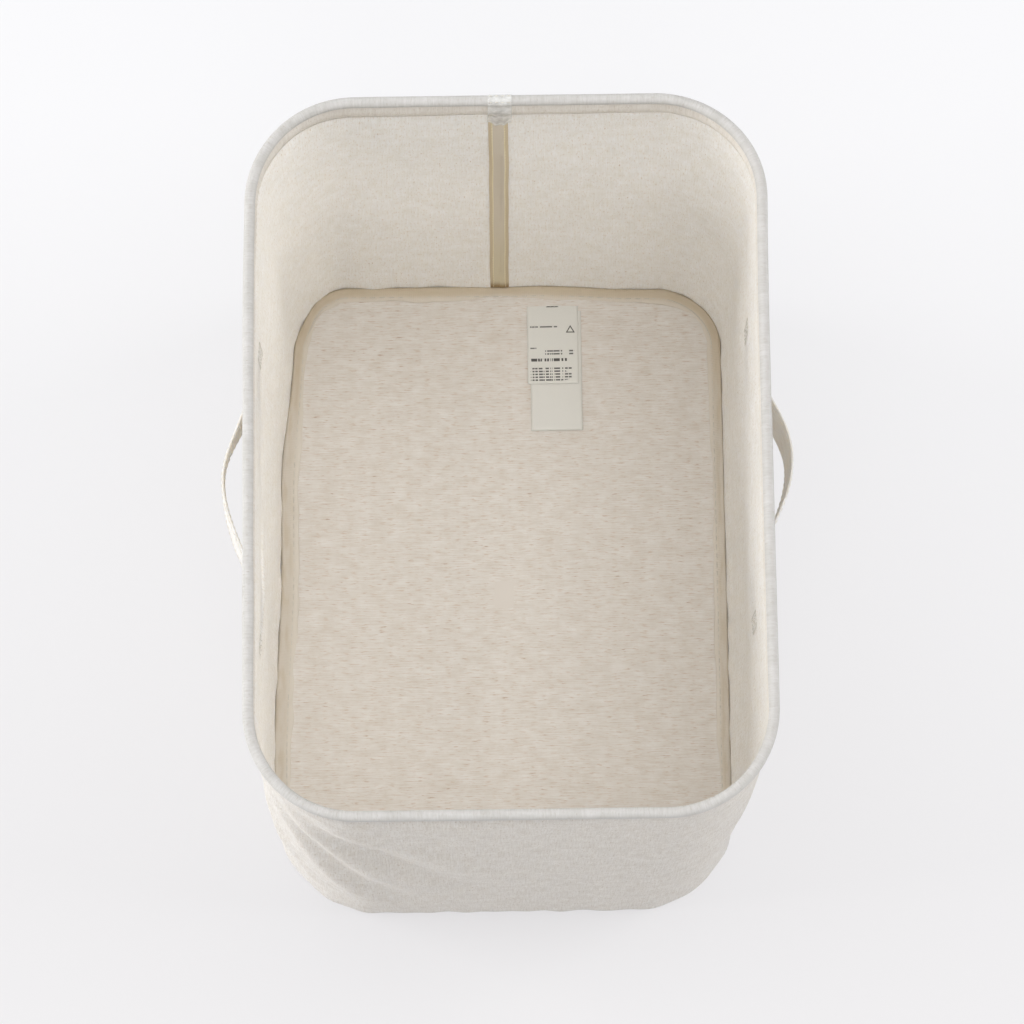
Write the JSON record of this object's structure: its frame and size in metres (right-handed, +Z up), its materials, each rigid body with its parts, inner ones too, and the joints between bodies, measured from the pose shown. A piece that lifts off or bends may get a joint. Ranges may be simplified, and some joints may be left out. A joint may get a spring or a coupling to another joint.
{
  "type": "open fabric storage bin",
  "caption": "Open rectangular storage bin of stiffened linen-look cloth with a wire-hoop rim, a flat sewn floor and a carrying strap on each long side.",
  "frame": {"origin": "centre of the footprint, on the underside of the floor panel", "axes": "+Z up out of the open top, +Y along the long side towards the closing seam, +X towards the right-hand strap"},
  "size_m": [0.2918, 0.3705, 0.2605],
  "materials": {
    "wall_cloth": "matt linen-look weave, lightly coated",
    "floor_cloth": "matt linen-look weave with slubs",
    "casing_cloth": "matt linen-look weave",
    "strap_cloth": "matt linen-look weave, folded double",
    "seam_tape": "fine woven tape",
    "binding_tape": "fine woven binding",
    "seam_thread": "twisted polyester thread",
    "binding_thread": "twisted polyester thread",
    "strap_thread": "dense bar tack thread",
    "tack_thread": "dark tack thread",
    "label_satin": "thin white satin with printed marks",
    "tab_cloth": "thin non-woven strip, slightly see-through",
    "hoop_wire": "drawn spring wire",
    "crimp_metal": "crimped tube"
  },
  "bodies": {
    "bin_base": {"base_panel": "floor_cloth", "side_wall": "wall_cloth", "base_seam_binding": "binding_tape", "base_seam_thread": "binding_thread", "side_seam_tape": "seam_tape", "side_seam_threads": "seam_thread", "care_label_upper": "label_satin", "care_label_lower": "label_satin", "label_tack": "tack_thread"},
    "rim": {"rim_casing": "casing_cloth", "rim_wire": "hoop_wire", "rim_wire_sleeve": "crimp_metal", "rim_hem_thread": "seam_thread", "rim_join_tab": "tab_cloth"},
    "left_anchor": {"handle_left_end_front": "strap_cloth", "handle_left_end_back": "strap_cloth", "handle_left_bartacks": "strap_thread"},
    "left_handle": {"handle_left_loop": "strap_cloth"},
    "right_anchor": {"handle_right_end_front": "strap_cloth", "handle_right_end_back": "strap_cloth", "handle_right_bartacks": "strap_thread"},
    "right_handle": {"handle_right_loop": "strap_cloth"}
  },
  "joints": [
    {"name": "rim_collapse", "type": "slide", "parent": "bin_base", "child": "rim", "axis": [0, 0, -1], "range_m": [0, 0.178], "deforming": ["side_wall", "side_seam_tape", "side_seam_threads"]},
    {"name": "left_anchor_drop", "type": "slide", "parent": "bin_base", "child": "left_anchor", "axis": [0, 0, -1], "range_m": [0, 0.1142]},
    {"name": "right_anchor_drop", "type": "slide", "parent": "bin_base", "child": "right_anchor", "axis": [0, 0, -1], "range_m": [0, 0.1142]},
    {"name": "left_handle_swing", "type": "hinge", "parent": "left_anchor", "child": "left_handle", "pos_m": [-0.12506, 0, 0.165], "axis": [0, 1, 0], "range_deg": [-35, 35], "stiffness_Nm_per_rad": 0.03},
    {"name": "right_handle_swing", "type": "hinge", "parent": "right_anchor", "child": "right_handle", "pos_m": [0.12506, 0, 0.165], "axis": [0, -1, 0], "range_deg": [-35, 35], "stiffness_Nm_per_rad": 0.03}
  ],
  "couplings": [
    {"joint": "left_anchor_drop", "follows": "rim_collapse", "ratio": 0.64127},
    {"joint": "right_anchor_drop", "follows": "rim_collapse", "ratio": 0.64127}
  ]
}
